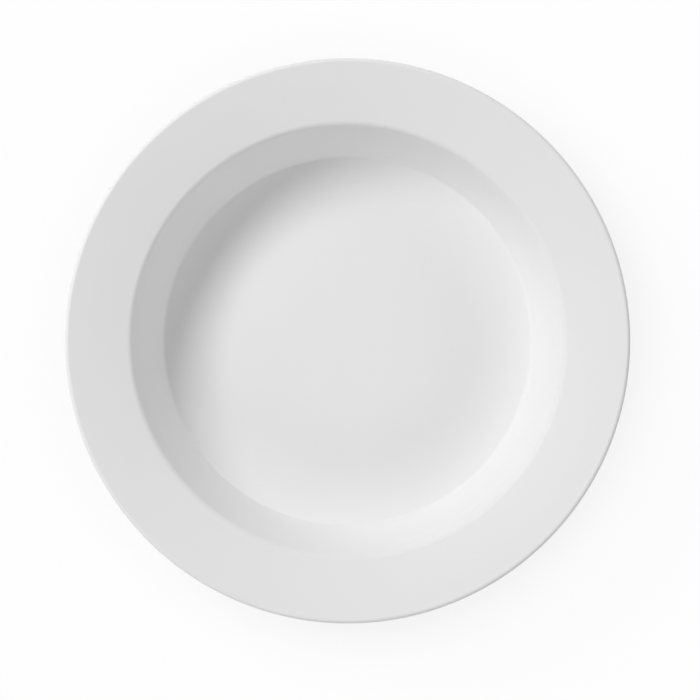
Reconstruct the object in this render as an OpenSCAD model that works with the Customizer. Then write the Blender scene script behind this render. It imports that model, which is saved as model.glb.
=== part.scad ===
// Rimmed soup plate in white porcelain, standing on its bare foot ring.
// Every size is in mm. The plate's axis is Z, the standing face of the foot is at z = 0, and up is +Z.
// Sizes of the top and the rim are taken over the glaze. Sizes of the foot are taken on the bare porcelain.

/* [Rim] */
// Diameter over the lip
plate_d = 230; // [200:1:270]
// Width of the rim, from the edge of the well to the lip
rim_w = 26.5; // [14:0.1:38]
// Rise of the rim towards the lip, in degrees
rim_slope = 14; // [4:0.5:18]
// How much flatter the rim is at the lip than at the well, in degrees
rim_crown = 3; // [0.5:0.5:6]
// Thickness at the lip
lip_t = 4; // [3:0.1:6]
// Rounding of the lip, above and below
lip_r = 1.4; // [0.6:0.1:2.8]
// Rounding of the edge between the rim and the well
edge_r = 3.8; // [1.5:0.1:8]

/* [Well] */
// Depth of the well, from its edge down to the floor
well_depth = 29.8; // [20:0.2:36]
// Width of the steep wall, seen from above
wall_w = 11.3; // [8:0.1:18]
// Rounding where the wall meets the bowl
corner_r = 2; // [1:0.5:6]
// Width of the bowl that curves up from the flat floor to the wall, seen from above
bowl_w = 32; // [16:0.5:40]
// Slope of the bowl where it meets the wall, in degrees
bowl_slope = 16; // [8:1:24]

/* [Thickness] */
// Thickness of the wall and of the bowl beside it
wall_t = 3.9; // [3.2:0.1:6]
// Thickness of the floor inside the foot ring
base_t = 5; // [4:0.1:7]

/* [Foot] */
// How far the foot ring stands in from the bottom of the wall
foot_inset = 13; // [8:0.5:26]
// Width of the standing face, before its edges are rounded
foot_w = 3; // [2.4:0.1:5]
// Height of the foot ring
foot_h = 4; // [2.8:0.1:6]
// Taper of each side of the foot ring, in degrees
foot_draft = 8; // [2:1:15]
// Rounding of the two standing edges
foot_edge_r = 0.8; // [0.3:0.1:0.9]
// Rounding between the foot ring and the underside
foot_fillet_r = 1.5; // [0.6:0.1:2.5]

/* [Glaze] */
// Thickness of the glaze
glaze_t = 0.3; // [0.2:0.05:0.5]
// Height of the foot ring that is wiped bare before the glaze is fired
bare_h = 1.2; // [0.9:0.1:1.5]

/* [Hidden] */
$fn = 180;
glaze_white = [0.96, 0.96, 0.95];
porcelain_white = [0.93, 0.91, 0.87];

// Radii and heights along the top, over the glaze
plate_r = plate_d / 2;
mouth_r = plate_r - rim_w;
wall_foot_r = mouth_r - wall_w;
bowl_mid_r = wall_foot_r - bowl_w / 2;
bowl_rise = bowl_w / 2 * tan(bowl_slope);
floor_z = foot_h + base_t;
wall_foot_z = floor_z + bowl_rise;
edge_z = floor_z + well_depth;
rim_in = rim_slope + rim_crown / 2;
rim_out = rim_slope - rim_crown / 2;
rim_mid_r = plate_r - rim_w / 2;
rim_mid_z = edge_z + rim_w / 2 * tan(rim_in);
lip_z = rim_mid_z + rim_w / 2 * tan(rim_out);
wall_slope = atan((well_depth - bowl_rise) / wall_w);
// The bowl's curve takes this share of the bowl and leaves the rest for the rounding at the wall
bowl_share = 0.77;
bowl_r = bowl_share * bowl_w / 2 / tan(bowl_slope / 2);
// The rim's crown takes this share of the rim and leaves the rest for the roundings beside it
crown_share = 0.7;
crown_r = crown_share * rim_w / 2 / tan(rim_crown / 2);

// Foot ring, as it would be if the glaze ran down to the floor
glaze_side = glaze_t / cos(foot_draft);
foot_out_r = wall_foot_r - foot_inset + glaze_side;
foot_in_r = wall_foot_r - foot_inset - foot_w - glaze_side;
taper = tan(foot_draft);

// A corner below the top, set off by the wall's thickness between two sloping sides
function below(r, z, inner, outer) =
    let (k = wall_t / cos((outer - inner) / 2), a = (inner + outer) / 2) [r + k * sin(a), z - k * cos(a)];
under_rim = below(mouth_r, edge_z, rim_in, wall_slope);
under_wall = below(wall_foot_r, wall_foot_z, bowl_slope, wall_slope);

// Outline over the glaze from the axis on top to the axis below: radius, height, rounding
GLAZED = [
    [0, floor_z, 0],
    [bowl_mid_r, floor_z, bowl_r],
    [wall_foot_r, wall_foot_z, corner_r],
    [mouth_r, edge_z, edge_r],
    [rim_mid_r, rim_mid_z, crown_r],
    [plate_r, lip_z, lip_r],
    [plate_r, lip_z - lip_t, lip_r],
    [under_rim[0], under_rim[1], edge_r + wall_t],
    [under_wall[0], under_wall[1], corner_r + wall_t],
    [foot_out_r + foot_h * taper, foot_h, foot_fillet_r],
    [foot_out_r + bare_h * taper, bare_h, 0],
    [foot_out_r, 0, foot_edge_r],
    [foot_in_r, 0, foot_edge_r],
    [foot_in_r - bare_h * taper, bare_h, 0],
    [foot_in_r - foot_h * taper, foot_h, foot_fillet_r],
    [0, foot_h, 0]
];
// Corners where the glaze stops, and the side of the outline that stands on the floor
outer_stop = 10;
standing = 11;
inner_stop = 13;
last = len(GLAZED) - 1;

// Thickness of the glaze on each side of the outline
SKIN = [for (i = [0:last - 1]) i == standing ? 0 : glaze_t];

// Directions, turns and lengths along an outline
function spot(c, i) = [c[i][0], c[i][1]];
function run(c, i) = norm(spot(c, i + 1) - spot(c, i));
function way(c, i) = (spot(c, i + 1) - spot(c, i)) / run(c, i);
function turn(c, i) = i == 0 || i == len(c) - 1 ? 0 :
    let (a = way(c, i - 1), b = way(c, i)) atan2(cross(a, b), a * b);

// Lengths, turns and roundings smaller than these count as none
least_reach = 0.001;
least_turn = 0.05;
least_r = 0.02;

// How much of a corner's rounding fits between its neighbours
function reach(c, i) = c[i][2] * tan(abs(turn(c, i)) / 2);
function share(c, i) = reach(c, i) < least_reach ? 0 :
    min(1, run(c, i - 1) / (reach(c, i - 1) + reach(c, i)), run(c, i) / (reach(c, i) + reach(c, i + 1)));

// Points round one corner, close enough together to keep to the true curve
curve_error = 0.008;
widest_step = 6;
fewest_steps = 3;
function bend(c, i) =
    let (q = spot(c, i), a = turn(c, i), r = c[i][2] * share(c, i))
    r < least_r || abs(a) < least_turn ? [q] :
    let (
        d = way(c, i - 1),
        start = q - d * r * tan(abs(a) / 2),
        mid = start + sign(a) * r * [-d[1], d[0]],
        from = atan2(start[1] - mid[1], start[0] - mid[0]),
        step = min(widest_step, 2 * acos(1 - curve_error / r)),
        n = max(fewest_steps, ceil(abs(a) / step))
    ) [for (k = [0:n]) mid + r * [cos(from + a * k / n), sin(from + a * k / n)]];
function stretch(c, first, end) = [for (i = [first:end]) each bend(c, i)];
function backwards(p) = [for (i = [len(p) - 1:-1:0]) p[i]];

// The same outline with the glaze taken off: each side moves in by its own thickness
function inward(c, i) = let (d = way(c, i)) [d[1], -d[0]] * SKIN[i];
function meet(p, d, q, e) = p + d * cross(q - p, e) / cross(d, e);
function bare_spot(c, i) =
    i == 0 ? [0, c[0][1] - SKIN[0]] :
    i == last ? [0, c[last][1] + SKIN[last - 1]] :
    abs(turn(c, i)) < least_turn ? spot(c, i) + inward(c, i) :
    meet(spot(c, i) + inward(c, i - 1), way(c, i - 1), spot(c, i) + inward(c, i), way(c, i));
function bare_rounding(c, i) = c[i][2] == 0 ? 0 :
    let (t = min(SKIN[i - 1], SKIN[i])) max(0, c[i][2] + (turn(c, i) > 0 ? t : -t));
BARE = [for (i = [0:last]) let (p = bare_spot(GLAZED, i)) [p[0], p[1], bare_rounding(GLAZED, i)]];

// The glaze between two corners, out along its surface and back along the porcelain
function glaze_between(first, end) =
    concat(stretch(GLAZED, first, end), backwards(stretch(BARE, first, end)));

// Fired porcelain: the whole plate under its glaze, with the foot ring bare where it stands
module porcelain_body() {
    color(porcelain_white)
        rotate_extrude() polygon(stretch(BARE, 0, last));
}

// Glaze over the well, the rim, the lip and the outside, down to the wiped edge of the foot ring
module glaze_coat() {
    color(glaze_white)
        rotate_extrude() polygon(glaze_between(0, outer_stop));
}

// Glaze under the base, inside the foot ring
module base_glaze() {
    color(glaze_white)
        rotate_extrude() polygon(glaze_between(inner_stop, last));
}

porcelain_body();
glaze_coat();
base_glaze();
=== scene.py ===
import math

import bmesh
import bpy
from mathutils import Matrix, Vector


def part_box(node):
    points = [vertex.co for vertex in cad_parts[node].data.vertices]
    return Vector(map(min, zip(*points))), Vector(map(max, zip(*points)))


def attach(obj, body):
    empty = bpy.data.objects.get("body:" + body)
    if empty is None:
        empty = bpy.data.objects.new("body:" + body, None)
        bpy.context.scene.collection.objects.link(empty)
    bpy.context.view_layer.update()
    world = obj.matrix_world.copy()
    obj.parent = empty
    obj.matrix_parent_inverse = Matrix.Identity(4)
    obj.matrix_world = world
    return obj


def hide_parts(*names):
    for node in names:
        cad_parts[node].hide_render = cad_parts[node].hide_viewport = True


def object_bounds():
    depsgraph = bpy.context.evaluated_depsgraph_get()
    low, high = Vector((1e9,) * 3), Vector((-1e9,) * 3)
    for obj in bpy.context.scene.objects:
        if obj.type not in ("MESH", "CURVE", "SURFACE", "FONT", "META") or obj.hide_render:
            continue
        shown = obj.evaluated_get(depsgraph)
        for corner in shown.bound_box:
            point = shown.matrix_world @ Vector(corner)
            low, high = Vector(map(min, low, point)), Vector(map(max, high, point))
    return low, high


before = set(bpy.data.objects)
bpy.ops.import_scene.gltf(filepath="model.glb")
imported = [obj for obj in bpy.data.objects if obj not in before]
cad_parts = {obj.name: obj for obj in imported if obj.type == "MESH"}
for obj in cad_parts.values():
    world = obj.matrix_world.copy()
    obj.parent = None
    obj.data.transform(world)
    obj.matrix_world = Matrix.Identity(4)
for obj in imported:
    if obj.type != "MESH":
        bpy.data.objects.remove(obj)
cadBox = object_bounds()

mm = 0.001
scene = bpy.context.scene
coatLow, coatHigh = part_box("glaze_coat")
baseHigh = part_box("base_glaze")[1]

glazeThick = 0.3
plateShape = {  # millimetres and degrees over the glaze, as the solids are built
    "plateRadius": coatHigh.x / mm,
    "rimWidth": 26.5,
    "rimSlope": 14.0,
    "rimCrown": 3.0,  # how much flatter the rim is at the lip than at the well
    "crownShare": 0.7,
    "lipThick": 4.0,
    "lipRound": 1.4,
    "edgeRound": 3.8,
    "wellDepth": 29.8,
    "wallWidth": 11.3,
    "cornerRound": 2.0,
    "bowlWidth": 32.0,
    "bowlSlope": 16.0,
    "bowlShare": 0.77,  # how much of the bowl is curved
    "wallThick": 3.9,
    "baseThick": 5.0,
    "footInset": 13.0,
    "footWidth": 3.0,
    "footHeight": baseHigh.z / mm - glazeThick,
    "footTaper": 8.0,
    "footEdgeRound": 0.8,
    "footFillet": 1.5,
    "bareHeight": coatLow.z / mm,  # the glaze stops here on the foot ring
}
outerStop, standing, innerStop = 10, 11, 13  # glaze line outside, standing side, glaze line inside


def below(r, z, inner, outer, thick):  # corner under the wall, set off square to both of its sides
    reach = thick / math.cos((outer - inner) / 2)
    lean = (inner + outer) / 2
    return r + reach * math.sin(lean), z - reach * math.cos(lean)


def glazedOutline(s):  # corners from the axis on top to the axis below: radius, height, rounding
    crown, bowl = math.radians(s["rimCrown"]), math.radians(s["bowlSlope"])
    rimIn = math.radians(s["rimSlope"]) + crown / 2
    rimOut = rimIn - crown
    taper = math.tan(math.radians(s["footTaper"]))
    halfRim, halfBowl = s["rimWidth"] / 2, s["bowlWidth"] / 2
    mouth = s["plateRadius"] - s["rimWidth"]
    wallFoot = mouth - s["wallWidth"]
    floorZ = s["footHeight"] + s["baseThick"]
    wallFootZ = floorZ + halfBowl * math.tan(bowl)
    edgeZ = floorZ + s["wellDepth"]
    rimMidZ = edgeZ + halfRim * math.tan(rimIn)
    lipZ = rimMidZ + halfRim * math.tan(rimOut)
    wall = math.atan2(edgeZ - wallFootZ, s["wallWidth"])
    glazeSide = glazeThick / math.cos(math.radians(s["footTaper"]))
    footOut = wallFoot - s["footInset"] + glazeSide
    footIn = footOut - s["footWidth"] - 2 * glazeSide
    return [
        (0, floorZ, 0),
        (wallFoot - halfBowl, floorZ, s["bowlShare"] * halfBowl / math.tan(bowl / 2)),
        (wallFoot, wallFootZ, s["cornerRound"]),
        (mouth, edgeZ, s["edgeRound"]),
        (mouth + halfRim, rimMidZ, s["crownShare"] * halfRim / math.tan(crown / 2)),
        (s["plateRadius"], lipZ, s["lipRound"]),
        (s["plateRadius"], lipZ - s["lipThick"], s["lipRound"]),
        (*below(mouth, edgeZ, rimIn, wall, s["wallThick"]), s["edgeRound"] + s["wallThick"]),
        (*below(wallFoot, wallFootZ, bowl, wall, s["wallThick"]), s["cornerRound"] + s["wallThick"]),
        (footOut + s["footHeight"] * taper, s["footHeight"], s["footFillet"]),
        (footOut + s["bareHeight"] * taper, s["bareHeight"], 0),
        (footOut, 0, s["footEdgeRound"]),
        (footIn, 0, s["footEdgeRound"]),
        (footIn - s["bareHeight"] * taper, s["bareHeight"], 0),
        (footIn - s["footHeight"] * taper, s["footHeight"], s["footFillet"]),
        (0, s["footHeight"], 0),
    ]


latheWork = {
    "spinSteps": 180,
    "fineArc": 3.0,  # degrees for each step of a rounding that shows
    "hiddenArc": 9.0,
    "fewestSteps": 3,
    "straight": 0.001,  # radians, a smaller turn counts as none
    "support": 0.05,  # millimetres, a loop beside each rounding keeps the flat sides flat
    "weld": 0.001,
    "hair": 0.002,  # the pieces are this much smaller than the solids, so no facet stands proud
}


def runAlong(corners, i):  # direction of the side that leaves corner i
    return (Vector(corners[i + 1][:2]) - Vector(corners[i][:2])).normalized()


def turnAt(corners, i):  # left turns are hollow, right turns stand out
    a, b = runAlong(corners, i - 1), runAlong(corners, i)
    return math.atan2(a.cross(b), a.dot(b))


def bareOutline(corners):  # the same corners with the glaze taken off every side but the standing one
    skin = [0 if i == standing else glazeThick for i in range(len(corners) - 1)]
    bare = [(0, corners[0][1] - glazeThick, 0)]
    for i in range(1, len(corners) - 1):
        a, b, turn = runAlong(corners, i - 1), runAlong(corners, i), turnAt(corners, i)
        here = Vector(corners[i][:2])
        spot = here + Vector((b.y, -b.x)) * skin[i]
        if abs(turn) > latheWork["straight"]:  # both sides moved in meet again here
            start = here + Vector((a.y, -a.x)) * skin[i - 1]
            spot = start + a * (spot - start).cross(b) / a.cross(b)
        thinner = min(skin[i - 1], skin[i])
        rounding = corners[i][2] + math.copysign(thinner, turn) if corners[i][2] else 0
        bare.append((spot.x, spot.y, max(0, rounding)))
    return bare + [(0, corners[-1][1] + glazeThick, 0)]


def pull(bm, pen, spot):  # a straight run, pulled out of the pen's vertex
    tip = bmesh.ops.extrude_vert_indiv(bm, verts=[pen])["verts"][0]
    bmesh.ops.translate(bm, verts=[tip], vec=Vector((spot.x * mm, 0, spot.y * mm)) - pen.co)
    return tip


def sweep(bm, pen, hub, turn, arcStep):  # a rounded corner, spun round its hub
    steps = max(latheWork["fewestSteps"], math.ceil(math.degrees(abs(turn)) / arcStep))
    centre = Vector((hub.x * mm, 0, hub.y * mm))
    swept = bmesh.ops.spin(bm, geom=[pen], cent=centre, axis=(0, -1, 0), angle=turn, steps=steps)
    return next(g for g in swept["geom_last"] if isinstance(g, bmesh.types.BMVert))


def drawOutline(bm, corners, hiddenFrom):  # corners past hiddenFrom lie between glaze and porcelain
    support = latheWork["support"]
    pen = bm.verts.new((corners[0][0] * mm, 0, corners[0][1] * mm))
    for i in range(1, len(corners) - 1):
        here, turn = Vector(corners[i][:2]), turnAt(corners, i)
        reach = corners[i][2] * math.tan(abs(turn) / 2)
        if reach < latheWork["weld"]:
            pen = pull(bm, pen, here)
            continue
        came, goes = runAlong(corners, i - 1), runAlong(corners, i)
        start = here - came * reach
        hub = start + Vector((-came.y, came.x)) * math.copysign(corners[i][2], turn)
        pen = pull(bm, pen, start - came * support)
        pen = pull(bm, pen, start)
        pen = sweep(bm, pen, hub, turn, latheWork["fineArc" if i < hiddenFrom else "hiddenArc"])
        pen = pull(bm, pen, here + goes * (reach + support))
    pull(bm, pen, Vector(corners[-1][:2]))


def lathe(bm):
    hair = latheWork["hair"]
    smaller = 1 - hair / plateShape["plateRadius"]
    bmesh.ops.scale(bm, verts=bm.verts, vec=(smaller, 1, 1 - 2 * hair / cadBox[1].z * mm))
    bmesh.ops.translate(bm, verts=bm.verts, vec=(0, 0, hair * mm))
    bmesh.ops.spin(bm, geom=bm.verts[:] + bm.edges[:], cent=(0, 0, 0), axis=(0, 0, 1),
                   angle=math.tau, steps=latheWork["spinSteps"], use_merge=True)
    bmesh.ops.remove_doubles(bm, verts=bm.verts, dist=latheWork["weld"] * mm)
    bmesh.ops.recalc_face_normals(bm, faces=bm.faces)


def finishPiece(bm, name, node, material):
    mesh = bpy.data.meshes.new(name)
    bm.to_mesh(mesh)
    bm.free()
    mesh.shade_smooth()
    mesh.materials.append(material)
    piece = bpy.data.objects.new(name, mesh)
    scene.collection.objects.link(piece)
    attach(piece, "root")
    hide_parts(node)
    print("made", name, "with", len(mesh.polygons), "faces")


glazeFinish = {  # lengths in metres, scales per metre
    "pale": (0.822, 0.822, 0.822, 1), "dim": (0.802, 0.802, 0.802, 1),
    "roughness": (0.50, 0.60), "refraction": 1.5,
    "ringSpacing": 0.006, "ringSideways": 0.15, "ringStart": 9.5, "ringDepth": 0.00015,
    "cloud": 22.0, "smear": 50.0, "grain": 420.0, "peelDepth": 0.000005,
}
baseFinish = dict(glazeFinish, ringSpacing=0.004, ringSideways=1.0)  # turned rings under the base
bareFinish = {
    "pale": (0.80, 0.785, 0.76, 1), "dim": (0.70, 0.68, 0.65, 1),
    "roughness": (0.68, 0.84), "refraction": 1.5,
    "ringSpacing": 0.0006, "ringSideways": 1.0, "ringStart": 0.0, "ringDepth": 0.00003,
    "cloud": 60.0, "smear": 140.0, "grain": 2600.0, "peelDepth": 0.00004,
}
noiseWork = {"Detail": 3.0, "Roughness": 0.5}  # of every noise in the groups below


def addNode(tree, kind, **settings):
    node = tree.nodes.new(kind)
    for key, value in settings.items():
        setattr(node, key, value)
    return node


def setInputs(node, **values):
    for key, value in values.items():
        node.inputs[key].default_value = value
    return node


def wire(tree, *pairs):
    for start, end in pairs:
        tree.links.new(start, end)


def newGroup(name, inputs, outputs):
    tree = bpy.data.node_groups.new(name, "ShaderNodeTree")
    for label, value in inputs.items():
        socket = tree.interface.new_socket(label, in_out="INPUT", socket_type="NodeSocketFloat")
        socket.default_value = value
    for label in outputs:
        tree.interface.new_socket(label, in_out="OUTPUT", socket_type="NodeSocketFloat")
    return tree, tree.nodes.new("NodeGroupInput").outputs, tree.nodes.new("NodeGroupOutput").inputs


def buildTurningRings():  # rings that the shaping tool leaves round the axis
    presets = {label: glazeFinish["ring" + label] for label in ("Spacing", "Sideways", "Start")}
    tree, given, out = newGroup("turningRings", presets, ["Height"])
    coords = addNode(tree, "ShaderNodeTexCoord")
    split = addNode(tree, "ShaderNodeSeparateXYZ")
    flat = addNode(tree, "ShaderNodeCombineXYZ")
    radius = addNode(tree, "ShaderNodeVectorMath", operation="LENGTH")
    along = addNode(tree, "ShaderNodeMath", operation="MULTIPLY_ADD")  # radius x sideways + height
    count = addNode(tree, "ShaderNodeMath", operation="DIVIDE")
    place = addNode(tree, "ShaderNodeMath", operation="ADD")
    rings = addNode(tree, "ShaderNodeTexNoise", noise_dimensions="1D")
    setInputs(rings, Scale=1.0, **noiseWork)
    wire(tree, (coords.outputs["Object"], split.inputs[0]),
         (split.outputs["X"], flat.inputs["X"]), (split.outputs["Y"], flat.inputs["Y"]),
         (flat.outputs[0], radius.inputs[0]), (radius.outputs["Value"], along.inputs[0]),
         (given["Sideways"], along.inputs[1]), (split.outputs["Z"], along.inputs[2]),
         (along.outputs[0], count.inputs[0]), (given["Spacing"], count.inputs[1]),
         (count.outputs[0], place.inputs[0]), (given["Start"], place.inputs[1]),
         (place.outputs[0], rings.inputs["W"]), (rings.outputs[0], out["Height"]))
    return tree


def buildFiredSkin():  # slow changes of tone and gloss, and the faint peel or grain of a fired surface
    scales = {label: glazeFinish[label.lower()] for label in ("Cloud", "Smear", "Grain")}
    tree, given, out = newGroup("firedSkin", scales, ["Tone", "Gloss", "Peel"])
    coords = addNode(tree, "ShaderNodeTexCoord")
    for scaleName, outName in zip(scales, ("Tone", "Gloss", "Peel")):
        noise = setInputs(addNode(tree, "ShaderNodeTexNoise"), **noiseWork)
        wire(tree, (coords.outputs["Object"], noise.inputs["Vector"]),
             (given[scaleName], noise.inputs["Scale"]), (noise.outputs[0], out[outName]))
    return tree


turningRings = buildTurningRings()
firedSkin = buildFiredSkin()
print("made groups", turningRings.name, firedSkin.name)


def firedMaterial(name, look):
    material = bpy.data.materials.new(name)
    material.use_nodes = True
    tree = material.node_tree
    shader = setInputs(tree.nodes["Principled BSDF"], IOR=look["refraction"])
    rings = setInputs(addNode(tree, "ShaderNodeGroup", node_tree=turningRings),
                      Spacing=look["ringSpacing"], Sideways=look["ringSideways"],
                      Start=look["ringStart"])
    skin = setInputs(addNode(tree, "ShaderNodeGroup", node_tree=firedSkin),
                     Cloud=look["cloud"], Smear=look["smear"], Grain=look["grain"])
    tone = addNode(tree, "ShaderNodeMix", data_type="RGBA")
    dim, pale = [s for s in tone.inputs if s.type == "RGBA"]
    dim.default_value, pale.default_value = look["dim"], look["pale"]
    toned = next(s for s in tone.outputs if s.type == "RGBA")
    gloss = addNode(tree, "ShaderNodeMapRange")
    gloss.inputs["To Min"].default_value, gloss.inputs["To Max"].default_value = look["roughness"]
    ringBump = setInputs(addNode(tree, "ShaderNodeBump"), Strength=1.0, Distance=look["ringDepth"])
    peelBump = setInputs(addNode(tree, "ShaderNodeBump"), Strength=1.0, Distance=look["peelDepth"])
    wire(tree, (skin.outputs["Tone"], tone.inputs["Factor"]), (toned, shader.inputs["Base Color"]),
         (skin.outputs["Gloss"], gloss.inputs["Value"]), (gloss.outputs[0], shader.inputs["Roughness"]),
         (rings.outputs["Height"], ringBump.inputs["Height"]),
         (skin.outputs["Peel"], peelBump.inputs["Height"]),
         (ringBump.outputs[0], peelBump.inputs["Normal"]),
         (peelBump.outputs[0], shader.inputs["Normal"]))
    print("made material", name)
    return material


whiteGlaze = firedMaterial("whiteGlaze", glazeFinish)
underGlaze = firedMaterial("underGlaze", baseFinish)
barePorcelain = firedMaterial("barePorcelain", bareFinish)

glazed = glazedOutline(plateShape)
bare = bareOutline(glazed)

glazeLine = {  # where the glaze was wiped off the foot ring
    "endRound": 0.13,  # millimetres
    "waveDepth": 0.16,
    "waveReach": 1.1,  # the wave dies out this far up the foot
    "waves": ((5, 0.5, 0.4), (13, 0.3, 1.7), (29, 0.2, 3.1)),  # how many round the ring, share, start
}


def rounded(corner):
    return (corner[0], corner[1], glazeLine["endRound"])


def waveLine(bm):  # a wiped edge is never quite even
    for v in bm.verts:
        fade = 1 - (v.co.z / mm - plateShape["bareHeight"]) / glazeLine["waveReach"]
        if fade > 0:
            angle = math.atan2(v.co.y, v.co.x)
            wave = sum(share * math.sin(count * angle + start)
                       for count, share, start in glazeLine["waves"])
            v.co.z += fade * (1 + wave) / 2 * glazeLine["waveDepth"] * mm


def makeCoat():  # the glaze over the well, the rim, the lip and the outside
    outside = glazed[:outerStop] + [rounded(glazed[outerStop])]
    inside = [rounded(bare[outerStop])] + bare[:outerStop][::-1]
    bm = bmesh.new()
    drawOutline(bm, outside + inside, len(outside) + 1)
    lathe(bm)
    waveLine(bm)
    finishPiece(bm, "glazeCoat", "glaze_coat", whiteGlaze)


def makeBaseGlaze():  # the field of glaze under the base
    under = glazed[innerStop + 1:][::-1] + [rounded(glazed[innerStop])]
    inside = [rounded(bare[innerStop])] + bare[innerStop + 1:]
    bm = bmesh.new()
    drawOutline(bm, under + inside, len(under) + 1)
    lathe(bm)
    waveLine(bm)
    finishPiece(bm, "baseGlaze", "base_glaze", underGlaze)


def makeBody():  # the porcelain, which shows only on the foot ring
    bm = bmesh.new()
    drawOutline(bm, bare, len(bare))
    lathe(bm)
    finishPiece(bm, "porcelainBody", "porcelain_body", barePorcelain)


makeCoat()
makeBaseGlaze()
makeBody()

studio = {  # metres, watts and degrees
    "floorSize": 3.0,
    "floorGap": 0.00002,  # below the foot, so that the two faces never share a place
    "white": (1, 1, 1, 1),
    "floorColour": (0.86, 0.86, 0.86, 1),
    "whiteUnder": 0.35,  # how much of the floor's white takes no shadow, under the plate
    "whiteAround": 0.95,  # and out on the open floor
    "shadowEdge": 1.25,  # the change ends at this many plate radii
    "worldLevel": 0.19,
    "lampDistance": 2.5,
    "lamps": (  # name, power, azimuth, height, width, depth
        ("keyLamp", 48.0, 145.0, 42.5, 1.9, 0.75),
        ("backFill", 10.4, 39.0, 26.0, 3.6, 1.1),
        ("frontFill", 14.4, 254.0, 25.0, 3.0, 1.1),
        ("farFill", 9.4, 339.0, 33.5, 2.6, 1.0),
    ),
}


def seenDirectly(tree):  # 1 for what the camera, a gloss or a clear body looks at
    path = addNode(tree, "ShaderNodeLightPath")
    either = addNode(tree, "ShaderNodeMath", operation="MAXIMUM")
    anyOf = addNode(tree, "ShaderNodeMath", operation="MAXIMUM")
    wire(tree, (path.outputs["Is Camera Ray"], either.inputs[0]),
         (path.outputs["Is Glossy Ray"], either.inputs[1]),
         (either.outputs[0], anyOf.inputs[0]), (path.outputs["Is Transmission Ray"], anyOf.inputs[1]))
    return anyOf.outputs[0]


def makeFloor():
    bm = bmesh.new()
    bmesh.ops.create_grid(bm, x_segments=2, y_segments=2, size=studio["floorSize"])
    bmesh.ops.translate(bm, verts=bm.verts, vec=(0, 0, cadBox[0].z - studio["floorGap"]))
    mesh = bpy.data.meshes.new("studioFloor")
    bm.to_mesh(mesh)
    bm.free()
    material = bpy.data.materials.new("paleFloor")
    material.use_nodes = True
    tree = material.node_tree
    tree.nodes.clear()
    out = addNode(tree, "ShaderNodeOutputMaterial")
    matte = setInputs(addNode(tree, "ShaderNodeBsdfDiffuse"), Color=studio["floorColour"])
    white = setInputs(addNode(tree, "ShaderNodeEmission"), Color=studio["white"], Strength=1.0)
    mix = addNode(tree, "ShaderNodeMixShader")
    coords = addNode(tree, "ShaderNodeTexCoord")
    away = addNode(tree, "ShaderNodeVectorMath", operation="LENGTH")
    fade = addNode(tree, "ShaderNodeMapRange", interpolation_type="SMOOTHSTEP")
    fade.inputs["From Min"].default_value = baseHigh.x
    fade.inputs["From Max"].default_value = coatHigh.x * studio["shadowEdge"]
    fade.inputs["To Min"].default_value = studio["whiteUnder"]
    fade.inputs["To Max"].default_value = studio["whiteAround"]
    share = addNode(tree, "ShaderNodeMath", operation="MULTIPLY")
    wire(tree, (coords.outputs["Object"], away.inputs[0]),
         (away.outputs["Value"], fade.inputs["Value"]),
         (fade.outputs[0], share.inputs[0]), (seenDirectly(tree), share.inputs[1]),
         (share.outputs[0], mix.inputs[0]), (matte.outputs[0], mix.inputs[1]),
         (white.outputs[0], mix.inputs[2]), (mix.outputs[0], out.inputs["Surface"]))
    mesh.materials.append(material)
    floor = bpy.data.objects.new("studioFloor", mesh)
    scene.collection.objects.link(floor)
    print("made floor")


def makeLamp(name, power, azimuth, height, wide, deep):
    lamp = bpy.data.lights.new(name, "AREA")
    lamp.shape = "ELLIPSE"
    lamp.size, lamp.size_y = wide, deep
    lamp.energy = power
    raised = Matrix.Rotation(-math.radians(height), 3, "Y") @ Vector((studio["lampDistance"], 0, 0))
    spot = Matrix.Rotation(math.radians(azimuth), 3, "Z") @ raised
    holder = bpy.data.objects.new(name, lamp)
    holder.location = spot
    holder.rotation_euler = (-spot).to_track_quat("-Z", "Y").to_euler()
    scene.collection.objects.link(holder)


def makeLight():
    for lamp in studio["lamps"]:
        makeLamp(*lamp)
    world = bpy.data.worlds.new("studioWorld")
    world.use_nodes = True
    scene.world = world
    tree = world.node_tree
    dim = setInputs(tree.nodes["Background"], Color=studio["white"], Strength=studio["worldLevel"])
    white = setInputs(addNode(tree, "ShaderNodeBackground"), Color=studio["white"], Strength=1.0)
    mix = addNode(tree, "ShaderNodeMixShader")
    wire(tree, (seenDirectly(tree), mix.inputs[0]), (dim.outputs[0], mix.inputs[1]),
         (white.outputs[0], mix.inputs[2]),
         (mix.outputs[0], tree.nodes["World Output"].inputs["Surface"]))
    print("made light")


overhead = {  # the photo looks straight down, with the plate a little off the middle of the frame
    "framePixels": 700,
    "radiusPixels": 282.5,  # of the plate
    "centrePixels": (347.6, 340.8),  # of the plate, from the frame's top left corner
    "lens": 135.0,
    "sensor": 36.0,
}


def makeCamera():
    view = bpy.data.cameras.new("overhead")
    view.lens, view.sensor_width = overhead["lens"], overhead["sensor"]
    pixel = coatHigh.x / overhead["radiusPixels"]
    middle = overhead["framePixels"] / 2
    centreX, centreY = overhead["centrePixels"]
    lipMiddle = coatHigh.z - plateShape["lipThick"] / 2 * mm
    away = overhead["framePixels"] * pixel * overhead["lens"] / overhead["sensor"]
    holder = bpy.data.objects.new("overhead", view)
    holder.location = ((middle - centreX) * pixel, (centreY - middle) * pixel, lipMiddle + away)
    scene.collection.objects.link(holder)
    scene.camera = holder
    print("made camera")


makeFloor()
makeLight()
makeCamera()
scene.view_settings.view_transform = "Standard"
